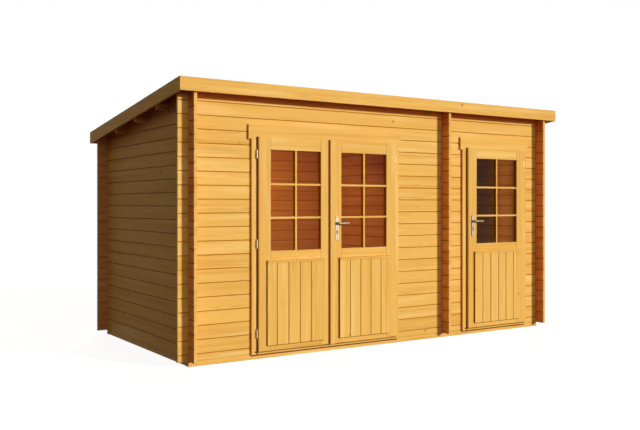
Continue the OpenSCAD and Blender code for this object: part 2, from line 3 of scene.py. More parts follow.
import bmesh
import bpy
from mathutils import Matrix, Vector


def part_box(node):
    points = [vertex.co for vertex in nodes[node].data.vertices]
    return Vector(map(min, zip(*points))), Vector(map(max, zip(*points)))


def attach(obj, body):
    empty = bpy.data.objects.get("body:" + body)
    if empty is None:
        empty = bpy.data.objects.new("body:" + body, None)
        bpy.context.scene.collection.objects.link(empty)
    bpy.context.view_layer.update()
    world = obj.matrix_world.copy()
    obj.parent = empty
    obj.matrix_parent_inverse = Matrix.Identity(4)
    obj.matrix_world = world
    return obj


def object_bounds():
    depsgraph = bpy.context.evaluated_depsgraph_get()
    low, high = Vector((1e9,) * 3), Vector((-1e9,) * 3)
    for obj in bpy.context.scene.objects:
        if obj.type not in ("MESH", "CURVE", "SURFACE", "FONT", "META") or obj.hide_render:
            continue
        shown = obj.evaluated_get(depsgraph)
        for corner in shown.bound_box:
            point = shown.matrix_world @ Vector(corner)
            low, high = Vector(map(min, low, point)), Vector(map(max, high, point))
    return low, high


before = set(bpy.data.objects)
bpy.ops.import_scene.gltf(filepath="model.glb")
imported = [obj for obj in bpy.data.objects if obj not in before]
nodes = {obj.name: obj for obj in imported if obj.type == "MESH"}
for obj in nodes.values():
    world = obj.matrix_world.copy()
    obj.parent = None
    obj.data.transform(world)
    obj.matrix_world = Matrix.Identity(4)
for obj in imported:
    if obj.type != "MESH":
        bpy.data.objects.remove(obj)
cad_lo, cad_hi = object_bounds()

# Lengths of the part's source that boxes of its nodes don't give, in metres
COURSE = 0.114                       # height of one course of logs
LOG_T = 0.028                        # thickness of a log
LOG_END = 0.106                      # free end of a log, from its tip into the crossing
WALLS_D = 2.010                      # depth over the front and the back wall
BOARD = 0.096                        # largest width of a floor board or roof board
BOARDING = (("left", 0.092, 0.116),  # leaf, width of its first board, and of the others
            ("right", 0.116, 0.116),
            ("single", 0.110, 0.110))
GLASS_RIM = 0.008                    # glass hidden in the groove of a leaf
BAR = 0.017                          # width of a glazing bar
BEARER = 0.058                       # width of a bearer
FRAME_OUT = 0.021                    # reach of a door frame in front of the wall
SILL = 0.030                         # height of a sill with its stop
HEAD_H = 0.123                       # height of a head board
HEAD_OVER = 0.028                    # overhang of a head board past a jamb
RAIL_MID, RAIL_FOOT = 0.129, 0.118   # heights of a leaf's middle and bottom rail
FASCIA_H = 0.110                     # height of a fascia
FALL = math.tan(math.radians(6.9))   # fall of the roof
LEVER_UP = 1.100                     # axis of a lever over the bearers
PLATE_DROP = 0.046                   # centre of a handle plate below it
BARREL_R, BARREL_L = 0.007, 0.068    # radius and length of a hinge's barrel

# Lengths that only the materials and the small fittings have
V_LOG = 0.0048                       # reach of the V between two logs
LEAF_SHADOW_LINE = 0.020                    # painted shadow under a leaf, over the bearers
KEY_DROP = 0.072                     # key cylinder below the lever's axis
CYLINDER_T, PLUG_T = 0.0032, 0.0046  # thickness of a key cylinder and of the plug in it
PLATE_SCREW = 0.094                  # a plate's screws above and below its centre
FELT_STRIP = 0.9                     # largest width of a strip of felt
FELT_NAIL, FELT_STEP = 0.022, 0.1    # the felt's nails from its edge, and from each other
FASCIA_STEP = 0.6                    # largest distance between two pairs of nails in a fascia
FASCIA_NAIL = 0.032                  # these nails above and below the middle of the fascia
SUNK = 0.001                         # how deep a small piece reaches into what carries it

box = {n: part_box(n) for n in nodes}
base_z = box["bearers"][1].z                           # underside of the walls
front_y = box["double_door_frame"][0].y + FRAME_OUT    # outer face of the front wall
back_y = front_y + WALLS_D                             # outer face of the back wall


# ---------- shader helpers ----------

def tree(name):
    m = bpy.data.materials.new(name)
    m.use_nodes = True
    m.node_tree.nodes.clear()
    return m, m.node_tree


def add(t, kind, *ins, **props):
    n = t.nodes.new("ShaderNode" + kind)
    for k, v in props.items():
        setattr(n, k, v)
    for i, v in enumerate(ins):
        put(t, n.inputs[i], v)
    return n


def put(t, socket, v):
    if v is None:
        return
    if isinstance(v, bpy.types.NodeSocket):
        t.links.new(v, socket)
    else:
        socket.default_value = v


def calc(t, op, a, b=None, c=None, clamp=False):
    return add(t, "Math", a, b, c, operation=op, use_clamp=clamp).outputs[0]


def ramp(t, v, a, b, lo=0.0, hi=1.0, smooth=True):
    """lo up to a, hi from b on; a may be the larger."""
    return add(t, "MapRange", v, a, b, lo, hi,
               interpolation_type="SMOOTHSTEP" if smooth else "LINEAR").outputs[0]


def blend(t, fac, a, b, mode="MIX"):
    n = t.nodes.new("ShaderNodeMix")
    n.data_type = "RGBA"
    n.blend_type = mode
    put(t, n.inputs[0], fac)
    put(t, n.inputs[6], a)
    put(t, n.inputs[7], b)
    return n.outputs[2]


def either(t, fac, a, b):
    """a where fac is 0, b where it is 1, for numbers."""
    n = t.nodes.new("ShaderNodeMix")
    n.data_type = "FLOAT"
    put(t, n.inputs[0], fac)
    put(t, n.inputs[2], a)
    put(t, n.inputs[3], b)
    return n.outputs[0]


def noise(t, vec, scale, detail=2.0, rough=0.5):
    n = t.nodes.new("ShaderNodeTexNoise")
    put(t, n.inputs["Vector"], vec)
    n.inputs["Scale"].default_value = scale
    n.inputs["Detail"].default_value = detail
    n.inputs["Roughness"].default_value = rough
    return n.outputs[0]


def vector(t, x, y, z):
    return add(t, "CombineXYZ", x, y, z).outputs[0]


def inside(t, v, lo, hi):
    """1 where v lies between lo and hi."""
    return calc(t, "MULTIPLY", calc(t, "GREATER_THAN", v, lo), calc(t, "LESS_THAN", v, hi))


def coords(t):
    """X, Y and Z of a point when the doors are shut."""
    return add(t, "SeparateXYZ", add(t, "TexCoord").outputs["Object"]).outputs[:3]


def facing(t, k):
    """How far a face looks along axis k, from -1 to 1."""
    return add(t, "SeparateXYZ", add(t, "TexCoord").outputs["Normal"]).outputs[k]


def hypot(t, a, b):
    return calc(t, "SQRT", calc(t, "ADD", calc(t, "MULTIPLY", a, a), calc(t, "MULTIPLY", b, b)))


def stretched(t, x, y, z, sx, sy, sz):
    """A point scaled along each axis, for noise that is longer one way."""
    return vector(t, calc(t, "MULTIPLY", x, sx), calc(t, "MULTIPLY", y, sy), calc(t, "MULTIPLY", z, sz))


def shade(t, **sockets):
    n = t.nodes.new("ShaderNodeBsdfPrincipled")
    for k, v in sockets.items():
        put(t, n.inputs[k.replace("_", " ")], v)
    finish_with(t, n)


def finish_with(t, shader, out="OutputMaterial"):
    t.links.new(shader.outputs[0], add(t, out).inputs[0])


def bump(t, height, strength, distance):
    n = t.nodes.new("ShaderNodeBump")
    n.inputs["Strength"].default_value = strength
    n.inputs["Distance"].default_value = distance
    put(t, n.inputs["Height"], height)
    return n.outputs[0]


# ---------- materials ----------

# Tones of stained softwood: early wood, late wood
HONEY = ((0.865, 0.500, 0.112), (0.67, 0.315, 0.047))
DECK = ((0.84, 0.29, 0.035), (0.64, 0.17, 0.012))
# Purlins: this tone is darkened as painted shade of the eaves
PURLIN_PAINTED_SHADE = ((0.52, 0.19, 0.030), (0.36, 0.11, 0.014))
FLOOR = ((0.72, 0.47, 0.22), (0.50, 0.28, 0.10))
PALE = (0.92, 0.60, 0.20, 1)                 # sapwood that took less stain
KNOT = (0.36, 0.13, 0.025, 1)
JOINT = (0.54, 0.200, 0.004, 1)              # stain gathered in a joint between logs
SIDE_WALL_PAINTED_SHADE_JOINT = (0.36, 0.13, 0.004, 1)         # the same, made darker as painted shade, in the side walls
BOARD_JOINT = (0.40, 0.150, 0.003, 1)        # the same in a leaf's boarding
DARK_JOINT_AND_SHADOW = (0.22, 0.062, 0.004, 1)               # stain in a narrow joint and round a nail, and painted shadow beside and under proud pieces
STEEL = (0.34, 0.31, 0.26, 1)                # head of a sunk nail

# Tones to multiply wood by
FREE_SUN, FREE_PAINTED_SHADE = (1.0, 0.86, 0.66), (1.08, 0.80, 0.95)   # log ends that stand free: a tone for their lit side, and a redder painted shade for their shaded side
# free log ends of the back wall, in painted shade
FREE_BACK_PAINTED_SHADE = (0.76, 0.62, 0.92)
EDGE_PAINTED_SHADE, BOARD_EDGE_PAINTED_SHADE = (0.80, 0.53, 0.20), (0.72, 0.42, 0.08)      # narrow sides of a door's pieces, darker as painted shade
EAVE_PAINTED_SHADE, GABLE_PAINTED_SHADE = (1.10, 0.78, 0.70), (0.74, 0.44, 0.34)           # wood close under the roof, darkened and reddened as painted shade of the roof

RING = 0.0062                                # width of a growth ring
KNOT_STRETCH = 0.62                          # length of board that has at most one knot
KNOT_ODDS = 0.16                             # share of these stretches that have one
KNOT_R, KNOT_MORE = 0.004, 0.007             # radius of the smallest knot, and how much larger others are


def side_face(t, k):
    """1 on a face that does not look along axis k."""
    return calc(t, "LESS_THAN", calc(t, "ABSOLUTE", facing(t, k)), 0.5)


def knots(t, a, place, own, pitch):
    """Masks of the knots and of the fibre that bends round them. a is the place along a board, in
    metres, place the place across the boards, in boards, and own a number of the board's own."""
    ka = calc(t, "DIVIDE", a, KNOT_STRETCH)
    ku = calc(t, "ADD", place, calc(t, "MULTIPLY", own, 50.0))
    cell = add(t, "TexVoronoi", voronoi_dimensions="2D")
    put(t, cell.inputs["Vector"], vector(t, ka, ku, None))
    cell.inputs["Scale"].default_value = 1.0
    cell.inputs["Randomness"].default_value = 0.7
    near = add(t, "SeparateXYZ", cell.outputs["Position"]).outputs
    ka = calc(t, "MULTIPLY", calc(t, "SUBTRACT", ka, near[0]), KNOT_STRETCH)
    ku = calc(t, "MULTIPLY", calc(t, "SUBTRACT", ku, near[1]), pitch)
    luck = add(t, "SeparateColor", cell.outputs["Color"]).outputs
    has = calc(t, "GREATER_THAN", luck[0], 1 - KNOT_ODDS)
    radius = calc(t, "MULTIPLY_ADD", luck[1], KNOT_MORE, KNOT_R)
    away = calc(t, "DIVIDE", hypot(t, ka, ku), radius)
    return [calc(t, "MULTIPLY", ramp(t, away, far, close), has) for far, close in ((1.15, 0.75), (2.4, 1.0))]


def boards(t, u, rail, pitch, start, seed, last):
    """Where a point lies across the boards: its place in boards, the index of its board, three random
    numbers of that board's own, and the distance from its middle."""
    place = calc(t, "DIVIDE", calc(t, "SUBTRACT", u, start), pitch)
    index = calc(t, "FLOOR", place)
    if last is not None:
        index = calc(t, "MINIMUM", index, last)
    key = calc(t, "ADD", index, seed + 0.5)
    if rail is not None:
        key = calc(t, "MULTIPLY_ADD", rail, 31.0, key)
    chance = add(t, "TexWhiteNoise", noise_dimensions="1D")
    put(t, chance.inputs["W"], key)
    own = add(t, "SeparateColor", chance.outputs["Color"]).outputs
    mid = calc(t, "MULTIPLY", calc(t, "SUBTRACT", calc(t, "SUBTRACT", place, index), 0.5), pitch)
    return place, index, own, mid


def fibre(t, a, u, w, place, mid, own, pitch, figure):
    """Grain of a board: how far a point is late wood, pale sapwood, a knot, bent fibre round a knot and
    a ring's edge, and its finest fibre. a runs along the board, u across it and w through it; place,
    mid and own are what boards() gives."""
    # Each board's own place in the noise
    shift = calc(t, "MULTIPLY", own[0], 40.0)
    a = calc(t, "ADD", a, shift)
    u = calc(t, "MULTIPLY_ADD", own[1], 9.0, u)

    # Growth rings about a heart that wanders along the board
    sway = noise(t, vector(t, calc(t, "MULTIPLY", a, 0.9), own[2], shift), 1.0, 1.0)
    du = calc(t, "ADD", mid, calc(t, "MULTIPLY", calc(t, "SUBTRACT", own[1], 0.5), min(pitch, 0.12)))
    dw = calc(t, "ADD", w, calc(t, "MULTIPLY_ADD", own[2], 0.05, 0.018))
    dw = calc(t, "MULTIPLY_ADD", calc(t, "SUBTRACT", sway, 0.5), 0.075, dw)
    warp = noise(t, stretched(t, a, u, w, 1.6, 16.0, 16.0), 1.0, 2.0)
    radius = calc(t, "MULTIPLY_ADD", warp, 0.016, hypot(t, du, dw))
    knot, rim = knots(t, a, place, own[2], pitch)
    radius = calc(t, "MULTIPLY_ADD", rim, 0.010, radius)
    ring = ramp(t, calc(t, "SINE", calc(t, "MULTIPLY", radius, 2 * math.pi / RING)), -0.2, 1.0)

    # Late wood: rings, broad and fine fibre, patches and the board's own tone
    broad = noise(t, stretched(t, a, u, w, 0.5, 24.0, 24.0), 1.0, 3.0, 0.6)
    fine = noise(t, stretched(t, a, u, w, 5.0, 420.0, 420.0), 1.0, 2.0, 0.6)
    patch = noise(t, stretched(t, a, u, w, 1.1, 3.0, 1.0), 1.0, 1.0)
    late = calc(t, "MULTIPLY", ring, 0.26 * figure)
    late = calc(t, "MULTIPLY_ADD", ramp(t, broad, 0.42, 0.74), 0.36 * figure, late)
    late = calc(t, "MULTIPLY_ADD", calc(t, "SUBTRACT", fine, 0.5), 0.30 * figure, late)
    late = calc(t, "MULTIPLY_ADD", calc(t, "SUBTRACT", patch, 0.5), 0.40, late)
    late = calc(t, "MULTIPLY_ADD", calc(t, "SUBTRACT", own[0], 0.5), 0.30, late, clamp=True)

    sap = noise(t, stretched(t, a, u, w, 0.8, 11.0, 11.0), 1.0, 2.0, 0.55)
    sap = calc(t, "MULTIPLY", ramp(t, sap, 0.46, 0.72), calc(t, "SUBTRACT", 1.0, late))
    return late, sap, knot, rim, ring, fine


def in_groove(t, mid, index, w, pitch, groove, skin, last):
    """How far a point lies in the V between two boards."""
    edge = calc(t, "SUBTRACT", pitch / 2, calc(t, "ABSOLUTE", mid))
    if last is not None:
        on_last = calc(t, "COMPARE", index, last, 0.1)
        edge = calc(t, "ADD", edge, calc(t, "MULTIPLY", calc(t, "GREATER_THAN", mid, 0.0), on_last))
    held = ramp(t, edge, groove, groove * 0.6, 0.0, 0.95)
    if skin:
        held = calc(t, "MULTIPLY", held, calc(t, "GREATER_THAN", calc(t, "ABSOLUTE", w), skin - groove))
    return held


def wood(name, grain, across, tones=HONEY, pitch=1.0, start=0.0, depth=0.0, seed=0.0, turned=None,
         lines=(), figure=1.15, rough=0.5, groove=0.0, skin=0.0, stain=JOINT, last=None, ends=None,
         free_tone=FREE_PAINTED_SHADE, eave=None, edges=None, nails=None):
    """Sawn softwood as a solid texture: boards lie side by side along the axis across, every pitch
    metres from start, and each has its own tone, heart and knots. depth is where the boards lie along
    the third axis. turned is a mask of where the fibre runs along across instead, as in a rail between
    two stiles. lines are dark lines, at joints between pieces and as painted shadows beside and under
    proud pieces: (axis, place, mask, half width). figure is the strength of the grain. groove is how far
    the V between two boards reaches to either side, skin how far its face lies from depth, and stain its
    colour. last is the index of the last board, which also fills what is left of the width. ends are the
    two places along the grain past which a log stands free; there its side faces that look towards +X
    take FREE_SUN, and its other side faces free_tone, a painted shade. eave is a mask of wood close
    under the roof, and its tone: painted shade of the roof. edges is the tone of narrow sides, which look
    along X, a painted shade. nails gives the distance to the nearest sunk nail. Masks and nails are
    functions of (t, x, y, z)."""
    m, t = tree(name)
    xyz = coords(t)
    axis = dict(zip("XYZ", xyz))
    third = axis[({"X", "Y", "Z"} - {grain, across}).pop()]
    a, u = axis[grain], axis[across]
    rail = turned(t, *xyz) if turned else None
    if rail is not None:
        a, u = either(t, rail, axis[grain], axis[across]), either(t, rail, axis[across], axis[grain])
    w = calc(t, "SUBTRACT", third, depth)
    place, index, own, mid = boards(t, u, rail, pitch, start, seed, last)
    late, sap, knot, rim, ring, fine = fibre(t, a, u, w, place, mid, own, pitch, figure)
    colour = blend(t, late, (*tones[0], 1), (*tones[1], 1))
    colour = blend(t, calc(t, "MULTIPLY", sap, 0.75), colour, PALE)
    height = calc(t, "MULTIPLY_ADD", fine, 0.6, calc(t, "MULTIPLY", ring, -0.5))

    # Where it took more stain, and painted shade on free log ends, under the roof and on narrow sides
    if ends:
        free = calc(t, "SUBTRACT", 1.0, inside(t, axis[grain], *ends))
        free = calc(t, "MULTIPLY", free, side_face(t, "XYZ".index(grain)))
        sunny = calc(t, "GREATER_THAN", facing(t, 0), 0.5)
        colour = blend(t, free, colour, blend(t, sunny, (*free_tone, 1), (*FREE_SUN, 1)), "MULTIPLY")
    if eave:
        colour = blend(t, eave[0](t, *xyz), colour, (*eave[1], 1), "MULTIPLY")
    colour = blend(t, calc(t, "MULTIPLY", rim, 0.45), colour, (*[c * 0.80 for c in tones[1]], 1))
    colour = blend(t, calc(t, "MULTIPLY", knot, 0.55), colour, KNOT)
    # Narrow sides that look along X: painted shade
    if edges:
        narrow = calc(t, "GREATER_THAN", calc(t, "ABSOLUTE", facing(t, 0)), 0.8)
        colour = blend(t, narrow, colour, (*edges, 1), "MULTIPLY")
    if groove:
        colour = blend(t, in_groove(t, mid, index, w, pitch, groove, skin, last), colour, stain)

    # Joints between pieces, painted shadows beside and under proud pieces, and nails
    for line_axis, line_at, mask, reach in lines:
        gap = calc(t, "ABSOLUTE", calc(t, "SUBTRACT", axis[line_axis], line_at))
        joint_and_shadow = calc(t, "MULTIPLY", ramp(t, gap, reach, reach * 0.4), mask(t, *xyz))
        colour = blend(t, joint_and_shadow, colour, DARK_JOINT_AND_SHADOW)
        height = calc(t, "MULTIPLY_ADD", joint_and_shadow, -2.0, height)
    if nails:
        gap = nails(t, *xyz)
        colour = blend(t, ramp(t, gap, 0.0032, 0.0026, 0.0, 0.5), colour, DARK_JOINT_AND_SHADOW)
        colour = blend(t, ramp(t, gap, 0.0025, 0.0021), colour, STEEL)
        height = calc(t, "MULTIPLY_ADD", ramp(t, gap, 0.0040, 0.0022), -1.5, height)
    shade(t, Base_Color=colour, Roughness=ramp(t, fine, 0.2, 0.8, rough - 0.07, rough + 0.09, False),
          Normal=bump(t, height, 0.35, 0.0006), Specular_IOR_Level=0.04)
    return m


def metal(name, low, high):
    """Brushed or plated metal that wanders between two tones."""
    m, t = tree(name)
    xyz = coords(t)
    brush = noise(t, stretched(t, *xyz, 60.0, 60.0, 1400.0), 1.0, 3.0)
    cloud = noise(t, vector(t, *xyz), 38.0, 3.0)
    shade(t, Base_Color=blend(t, cloud, (*low, 1), (*high, 1)), Metallic=1.0,
          Roughness=ramp(t, calc(t, "MULTIPLY_ADD", brush, 0.5, calc(t, "MULTIPLY", cloud, 0.5)),
                         0.3, 0.7, 0.36, 0.5, False),
          Normal=bump(t, brush, 0.12, 0.0002))
    return m


def mineral_felt(name, lo, hi):
    """Bitumen felt with slate granules, in strips that run down the slope and lap each other."""
    m, t = tree(name)
    xyz = coords(t)
    strips = math.ceil((hi.x - lo.x) / FELT_STRIP)
    place = calc(t, "DIVIDE", calc(t, "SUBTRACT", xyz[0], lo.x), (hi.x - lo.x) / strips)
    wave = noise(t, vector(t, xyz[1], 0.0, 0.0), 3.0, 2.0)
    place = calc(t, "MULTIPLY_ADD", calc(t, "SUBTRACT", wave, 0.5), 0.012, place)
    part = calc(t, "FRACT", place)
    lap = calc(t, "MULTIPLY", ramp(t, part, 0.009, 0.002), calc(t, "GREATER_THAN", place, 0.5))
    grit = add(t, "TexVoronoi", voronoi_dimensions="3D")
    put(t, grit.inputs["Vector"], vector(t, *xyz))
    grit.inputs["Scale"].default_value = 520.0
    tone = add(t, "SeparateColor", grit.outputs["Color"]).outputs[0]
    cloud = noise(t, vector(t, *xyz), 2.2, 4.0)
    strip = add(t, "TexWhiteNoise", noise_dimensions="1D")
    put(t, strip.inputs["W"], calc(t, "FLOOR", place))
    mixed = calc(t, "MULTIPLY_ADD", tone, 0.55, calc(t, "MULTIPLY", cloud, 0.45))
    mixed = calc(t, "MULTIPLY_ADD", calc(t, "SUBTRACT", strip.outputs["Value"], 0.5), 0.12, mixed, clamp=True)
    colour = blend(t, mixed, (0.030, 0.034, 0.032, 1), (0.115, 0.122, 0.112, 1))
    colour = blend(t, calc(t, "MULTIPLY", lap, 0.85), colour, (0.012, 0.012, 0.012, 1))
    high = calc(t, "MULTIPLY_ADD", lap, -3.0, grit.outputs["Distance"])
    shade(t, Base_Color=colour, Roughness=ramp(t, tone, 0.0, 1.0, 0.78, 0.98, False),
          Normal=bump(t, high, 0.5, 0.0008), Specular_IOR_Level=0.3)
    return m


def window_glass(name):
    """Clear pane that lets lamps through, so that they light the rooms."""
    m, t = tree(name)
    at = vector(t, *coords(t))
    cloud = noise(t, at, 6.0, 3.0)
    clear = add(t, "BsdfTransparent", blend(t, cloud, (0.90, 0.93, 0.92, 1), (0.95, 0.97, 0.96, 1)))
    mirror = add(t, "BsdfGlossy", (0.14, 0.13, 0.12, 1))
    mirror.inputs["Roughness"].default_value = 0.02
    put(t, mirror.inputs["Normal"], bump(t, noise(t, at, 4.0, 1.0), 0.02, 0.01))
    finish_with(t, add(t, "MixShader", 0.06, clear.outputs[0], mirror.outputs[0]))
    return m


# ---------- materials of the CAD nodes ----------

def give(material, *names):
    for n in names:
        slots = nodes[n].data.materials
        slots.clear()
        slots.append(material)


def eave_shadow_mask(t, x, y, z):
    """1 on the strip of the front wall under the roof, where the roof's shadow is painted."""
    top = box["front_wall_top"][1].z
    return ramp(t, z, top - 0.118, top - 0.102)


def gable_shade_mask(t, x, y, z):
    """Rises to 1 towards the roof, on the faces of the side walls, where the roof's shade is painted."""
    roof = calc(t, "MULTIPLY_ADD", y, -FALL, box["front_wall_top"][1].z + front_y * FALL)
    return calc(t, "MULTIPLY", ramp(t, calc(t, "SUBTRACT", roof, z), 0.30, 0.05), side_face(t, 1))


def logs(node, grain, depth, seed, **more):
    """Logs of one wall; those of the front and the back wall start with half a course."""
    start = base_z - (COURSE / 2 if grain == "X" else 0)
    give(wood("logs_" + node, grain, "Z", pitch=COURSE, start=start, depth=depth, seed=seed, groove=V_LOG,
              skin=LOG_T / 2, **more), node)


# The front wall's strip under the roof takes a painted shadow of the roof
for seed, n in enumerate(["front_wall_left", "front_wall_middle", "front_wall_right", "front_wall_top"]):
    logs(n, "X", front_y + LOG_T / 2, seed * 40.0, eave=(eave_shadow_mask, EAVE_PAINTED_SHADE))
# The back wall's free log ends take painted shade
logs("back_wall", "X", back_y - LOG_T / 2, 171.0, free_tone=FREE_BACK_PAINTED_SHADE,
     ends=(box["front_wall_left"][0].x + LOG_END, box["right_wall"][1].x))
# The side walls darken towards the roof as painted shade, and their free log ends and joints take painted
# shade too
for seed, n in enumerate(["left_wall", "partition_wall", "right_wall"]):
    logs(n, "Y", (box[n][0].x + box[n][1].x) / 2, 211.0 + seed * 40, stain=SIDE_WALL_PAINTED_SHADE_JOINT, figure=1.6,
         ends=(front_y, back_y), eave=(gable_shade_mask, GABLE_PAINTED_SHADE))

# Foundation and floors
b_lo, b_hi = box["bearers"]


def in_cross_bearer(t, x, y, z):
    return calc(t, "SUBTRACT", 1.0, inside(t, y, b_lo.y + BEARER, b_hi.y - BEARER))


def frame_shadow_mask(t, x, y, z):
    spans = [inside(t, x, box[f][0].x + HEAD_OVER, box[f][1].x - HEAD_OVER)
             for f in ("double_door_frame", "single_door_frame")]
    return calc(t, "ADD", *spans)


# The dark line on the bearers under the door frames is a painted shadow of the frames
give(wood("bearer_wood", "Y", "X", pitch=0.9, start=b_lo.x, depth=base_z / 2, seed=400.0,
          turned=in_cross_bearer, lines=[("Z", base_z - 0.009, frame_shadow_mask, 0.010)]), "bearers")
give(wood("joist_wood", "Y", "X", pitch=0.3, start=b_lo.x, depth=base_z / 2, seed=420.0), "floor_joists")


def even(width):
    """Width of each board where whole boards fill a width."""
    return width / round(width / BOARD)


for seed, n in enumerate(["floor_main", "floor_store"]):
    lo, hi = box[n]
    give(wood("boards_" + n, "X", "Y", FLOOR, pitch=even(hi.y - lo.y), start=lo.y, depth=hi.z,
              seed=440.0 + 30 * seed, rough=0.62, groove=0.0015), n)

# Roof
lo, hi = box["roof_boards"]
give(wood("roof_board_wood", "Y", "X", DECK, pitch=even(hi.x - lo.x), start=lo.x, depth=hi.z, seed=500.0,
          rough=0.6, groove=0.002), "roof_boards")
# the purlins' dark tone is painted shade under the eaves
give(wood("purlin_wood", "X", "Y", PURLIN_PAINTED_SHADE, pitch=0.5, start=lo.y, depth=lo.z, seed=560.0), "purlins")


def fascia_nails(lo, hi, k, fall, middle):
    """Pairs of sunk nails along axis k of a fascia. middle is the height of its middle at its start,
    and fall how it falls."""
    start, end = lo[k] + 0.03, hi[k] - 0.03
    step = (end - start) / math.ceil((end - start) / FASCIA_STEP)

    def gap(t, *xyz):
        place = calc(t, "DIVIDE", calc(t, "SUBTRACT", xyz[k], start), step)
        along = calc(t, "MULTIPLY", calc(t, "SUBTRACT", place, calc(t, "ROUND", place)), step)
        row = calc(t, "MULTIPLY_ADD", calc(t, "SUBTRACT", xyz[k], lo[k]), fall, xyz[2])
        up = calc(t, "ABSOLUTE", calc(t, "SUBTRACT", row, middle))
        return hypot(t, along, calc(t, "SUBTRACT", up, FASCIA_NAIL))

    return gap


for seed, n in enumerate(["fascia_front", "fascia_back"]):
    lo, hi = box[n]
    give(wood("board_" + n, "X", "Z", pitch=0.5, start=lo.z - 0.18, depth=lo.y, seed=580.0 + seed,
              nails=fascia_nails(lo, hi, 0, 0.0, (lo.z + hi.z) / 2)), n)
for seed, n in enumerate(["fascia_left", "fascia_right"]):
    lo, hi = box[n]
    give(wood("board_" + n, "Y", "Z", pitch=0.9, start=lo.z - 0.25, depth=lo.x, seed=590.0 + seed,
              nails=fascia_nails(lo, hi, 1, FALL, hi.z - FASCIA_H / 2)), n)
give(mineral_felt("felt", *box["roof_felt"]), "roof_felt")


def all_over(t, x, y, z):
    return 1.0


def frame_wood(name, node, seed, leaf):
    """Door frame whose jambs stand, and whose head and sill lie."""
    lo, hi = box[node]

    def leaf_foot_shadow(t, x, y, z):
        return inside(t, x, lo.x + HEAD_OVER + 0.03, hi.x - HEAD_OVER - 0.03)

    def leaf_side_shadow(t, x, y, z):
        return calc(t, "LESS_THAN", z, box[leaf][1].z)

    def lies(t, x, y, z):
        return calc(t, "ADD", calc(t, "GREATER_THAN", z, hi.z - HEAD_H),
                    calc(t, "LESS_THAN", z, base_z + SILL + 0.001), clamp=True)

    # The two dark lines are painted shadows of the leaf: under its foot, and beside its left side
    give(wood(name, "Z", "X", pitch=0.4, start=lo.x - 0.1, depth=lo.y, seed=seed, turned=lies, edges=EDGE_PAINTED_SHADE,
              lines=[("Z", base_z + LEAF_SHADOW_LINE, leaf_foot_shadow, 0.011),
                     ("X", box[leaf][0].x - 0.001, leaf_side_shadow, 0.009)]), node)


frame_wood("frame_wood_double", "double_door_frame", 610.0, "left_leaf")
frame_wood("frame_wood_single", "single_door_frame", 620.0, "single_leaf")


def leaf_wood(leaf, seed):
    """Leaf whose stiles stand and run through, and whose rails and cross bars lie between them."""
    lo, hi = box[leaf + "_leaf"]
    board_lo, board_hi = box[leaf + "_panel"]
    glass_lo, glass_hi = box[leaf + "_glass"]
    gx0, gx1 = glass_lo.x + GLASS_RIM, glass_hi.x - GLASS_RIM
    gz0, gz1 = glass_lo.z + GLASS_RIM, glass_hi.z - GLASS_RIM
    mid = (gx0 + gx1) / 2

    def lies(t, x, y, z):
        upright = calc(t, "MULTIPLY", inside(t, x, mid - BAR / 2, mid + BAR / 2), inside(t, z, gz0, gz1))
        return calc(t, "MULTIPLY", inside(t, x, gx0, gx1), calc(t, "SUBTRACT", 1.0, upright))

    def at_rail(t, x, y, z):
        open_part = calc(t, "ADD", inside(t, z, gz0, gz1), inside(t, z, lo.z + RAIL_FOOT, gz0 - RAIL_MID),
                         clamp=True)
        return calc(t, "SUBTRACT", 1.0, open_part)

    def boarding_foot_shadow(t, x, y, z):
        return inside(t, x, board_lo.x, board_hi.x)

    def boarding_side_shadow(t, x, y, z):
        return inside(t, z, board_lo.z, board_hi.z)

    # Besides the joints of rails and stiles, the dark lines are painted shadows: under the boarding's foot,
    # beside its left side, and along the leaf's left edge
    give(wood(leaf + "_leaf_wood", "Z", "X", pitch=(hi.x - lo.x) / 2, start=lo.x, depth=lo.y, seed=seed,
              turned=lies, figure=1.3, edges=EDGE_PAINTED_SHADE,
              lines=[("X", gx0, at_rail, 0.0018), ("X", gx1, at_rail, 0.0018),
                     ("Z", board_lo.z - 0.003, boarding_foot_shadow, 0.007),
                     ("X", board_lo.x, boarding_side_shadow, 0.006),
                     ("X", lo.x + 0.0035, all_over, 0.0035)]), leaf + "_leaf")


for seed, (leaf, first, board) in enumerate(BOARDING):
    leaf_wood(leaf, 640.0 + 10 * seed)
    lo, hi = box[leaf + "_panel"]
    give(wood("boards_%s_panel" % leaf, "Z", "X", pitch=board, start=lo.x + first - board, depth=lo.y,
              seed=700.0 + 20 * seed, groove=0.0056, stain=BOARD_JOINT, edges=BOARD_EDGE_PAINTED_SHADE,
              last=math.floor((hi.x - lo.x - first - board / 4) / board) + 1), leaf + "_panel")
    bar = box[leaf + "_drip_bar"][0]
    give(wood("bar_%s_leaf" % leaf, "X", "Z", pitch=0.2, start=bar.z - 0.05, depth=bar.y, seed=740.0 + seed),
         leaf + "_drip_bar")
lo = box["cover_strip"][0]
# Its dark line along the left edge is painted shade beside the gap
give(wood("strip_wood", "Z", "X", pitch=0.2, start=lo.x - 0.05, depth=lo.y, seed=780.0, edges=EDGE_PAINTED_SHADE,
          lines=[("X", lo.x + 0.002, all_over, 0.002)]), "cover_strip")

give(metal("satin_nickel", (0.215, 0.165, 0.105), (0.275, 0.215, 0.14)),
     "right_plates", "single_plates", "right_lever", "single_lever")
yellow_zinc = metal("yellow_zinc", (0.42, 0.30, 0.155), (0.54, 0.40, 0.22))
give(yellow_zinc, "double_frame_hinges", "single_frame_hinges",
     "left_hinges", "right_hinges", "single_hinges")
give(window_glass("clear_glass"), "left_glass", "right_glass", "single_glass")


# ---------- small fittings ----------

